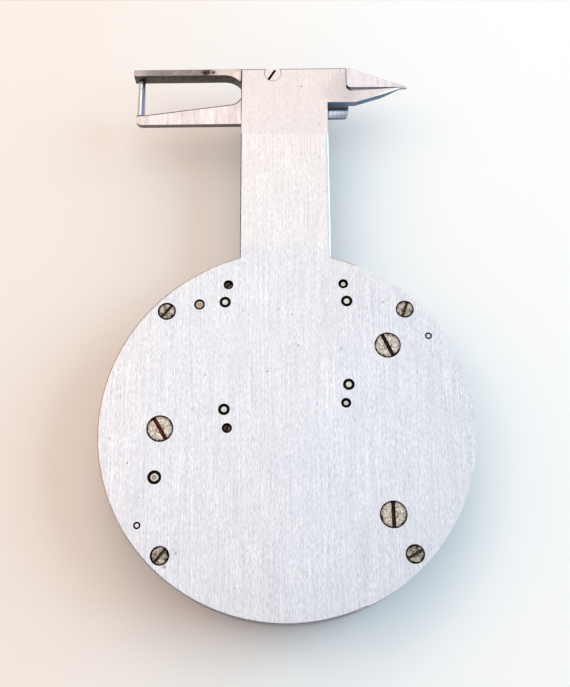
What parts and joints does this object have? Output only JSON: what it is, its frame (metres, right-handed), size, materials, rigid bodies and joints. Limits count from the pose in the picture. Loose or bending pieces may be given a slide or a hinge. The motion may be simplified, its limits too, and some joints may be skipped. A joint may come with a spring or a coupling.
{
  "type": "gemstone lever gauge",
  "caption": "Pocket lever gauge for cut stones: a round dial case with a neck, and a slide that opens a flat pair and a pointed pair of jaws and turns the pointer.",
  "frame": {"origin": "the dial's axis in the plane that the bezel's rim rests on", "axes": "+Y up the neck towards the jaws, +Z out of the back plate, +X towards the pointed jaws"},
  "size_m": [0.066, 0.1047, 0.013],
  "materials": {
    "plate_steel": "satin brushed steel, straight grain along the neck",
    "case_nickel": "turned and nickel plated",
    "jaw_steel": "ground steel",
    "screw_steel": "aged slotted screw heads",
    "pin_steel": "turned pin steel",
    "spring_steel": "bright spring wire",
    "blued_steel": "blued spring strip",
    "movement_brass": "turned and milled brass",
    "bush_bronze": "bronze",
    "dial_enamel": "white lacquered dial",
    "pointer_black": "black lacquered pointer",
    "crystal_glass": "clear flat crystal",
    "gasket_rubber": "thin black ring"
  },
  "bodies": {
    "root": {"back_plate": "plate_steel", "corner_screws": "screw_steel", "movement_screws": "screw_steel", "gib_screw": "plate_steel", "steady_pins": "pin_steel", "rail_screws": "screw_steel", "rail_dowels": "pin_steel", "rail_pin": "pin_steel", "case_body": "case_nickel", "bezel": "case_nickel", "crystal": "crystal_glass", "crystal_gasket": "gasket_rubber", "fixed_arm": "jaw_steel", "arm_screws": "screw_steel", "measuring_post": "jaw_steel", "post_tip": "jaw_steel", "left_rail": "jaw_steel", "right_rail": "jaw_steel", "spring_post": "pin_steel", "return_spring": "spring_steel", "movement_plate": "movement_brass", "pillars": "movement_brass", "centre_bridge": "movement_brass", "drive_bridge": "movement_brass", "arbor_bushes": "bush_bronze", "hairspring": "blued_steel", "hairspring_stud": "movement_brass", "dial": "dial_enamel", "dial_screws": "screw_steel"},
    "slide": {"jaw_slide": "jaw_steel", "thumb_tab": "jaw_steel", "tab_screws": "screw_steel", "rack": "movement_brass", "rack_screws": "screw_steel", "anchor_pin": "pin_steel"},
    "drive": {"drive_arbor": "pin_steel", "rack_pinion": "pin_steel", "drive_gear": "movement_brass"},
    "centre": {"centre_arbor": "pin_steel", "centre_pinion": "pin_steel", "hairspring_collet": "movement_brass", "pointer_hub": "movement_brass", "pointer": "pointer_black"}
  },
  "joints": [
    {"name": "slide_lift", "type": "slide", "parent": "root", "child": "slide", "axis": [0, 1, 0], "range_m": [0, 0.0125], "stiffness_N_per_m": 60, "springref_m": -0.01, "deforming": ["return_spring"]},
    {"name": "drive_spin", "type": "hinge", "parent": "root", "child": "drive", "pos_m": [0.00796, -0.00796, 0.006], "axis": [0, 0, 1], "range_deg": [-258, 2]},
    {"name": "pointer_spin", "type": "hinge", "parent": "root", "child": "centre", "pos_m": [0, 0, 0.006], "axis": [0, 0, 1], "range_deg": [-5, 902], "deforming": ["hairspring"]}
  ],
  "couplings": [
    {"joint": "drive_spin", "follows": "slide_lift", "rad_per_m": -359.04},
    {"joint": "pointer_spin", "follows": "slide_lift", "rad_per_m": 1256.6}
  ]
}
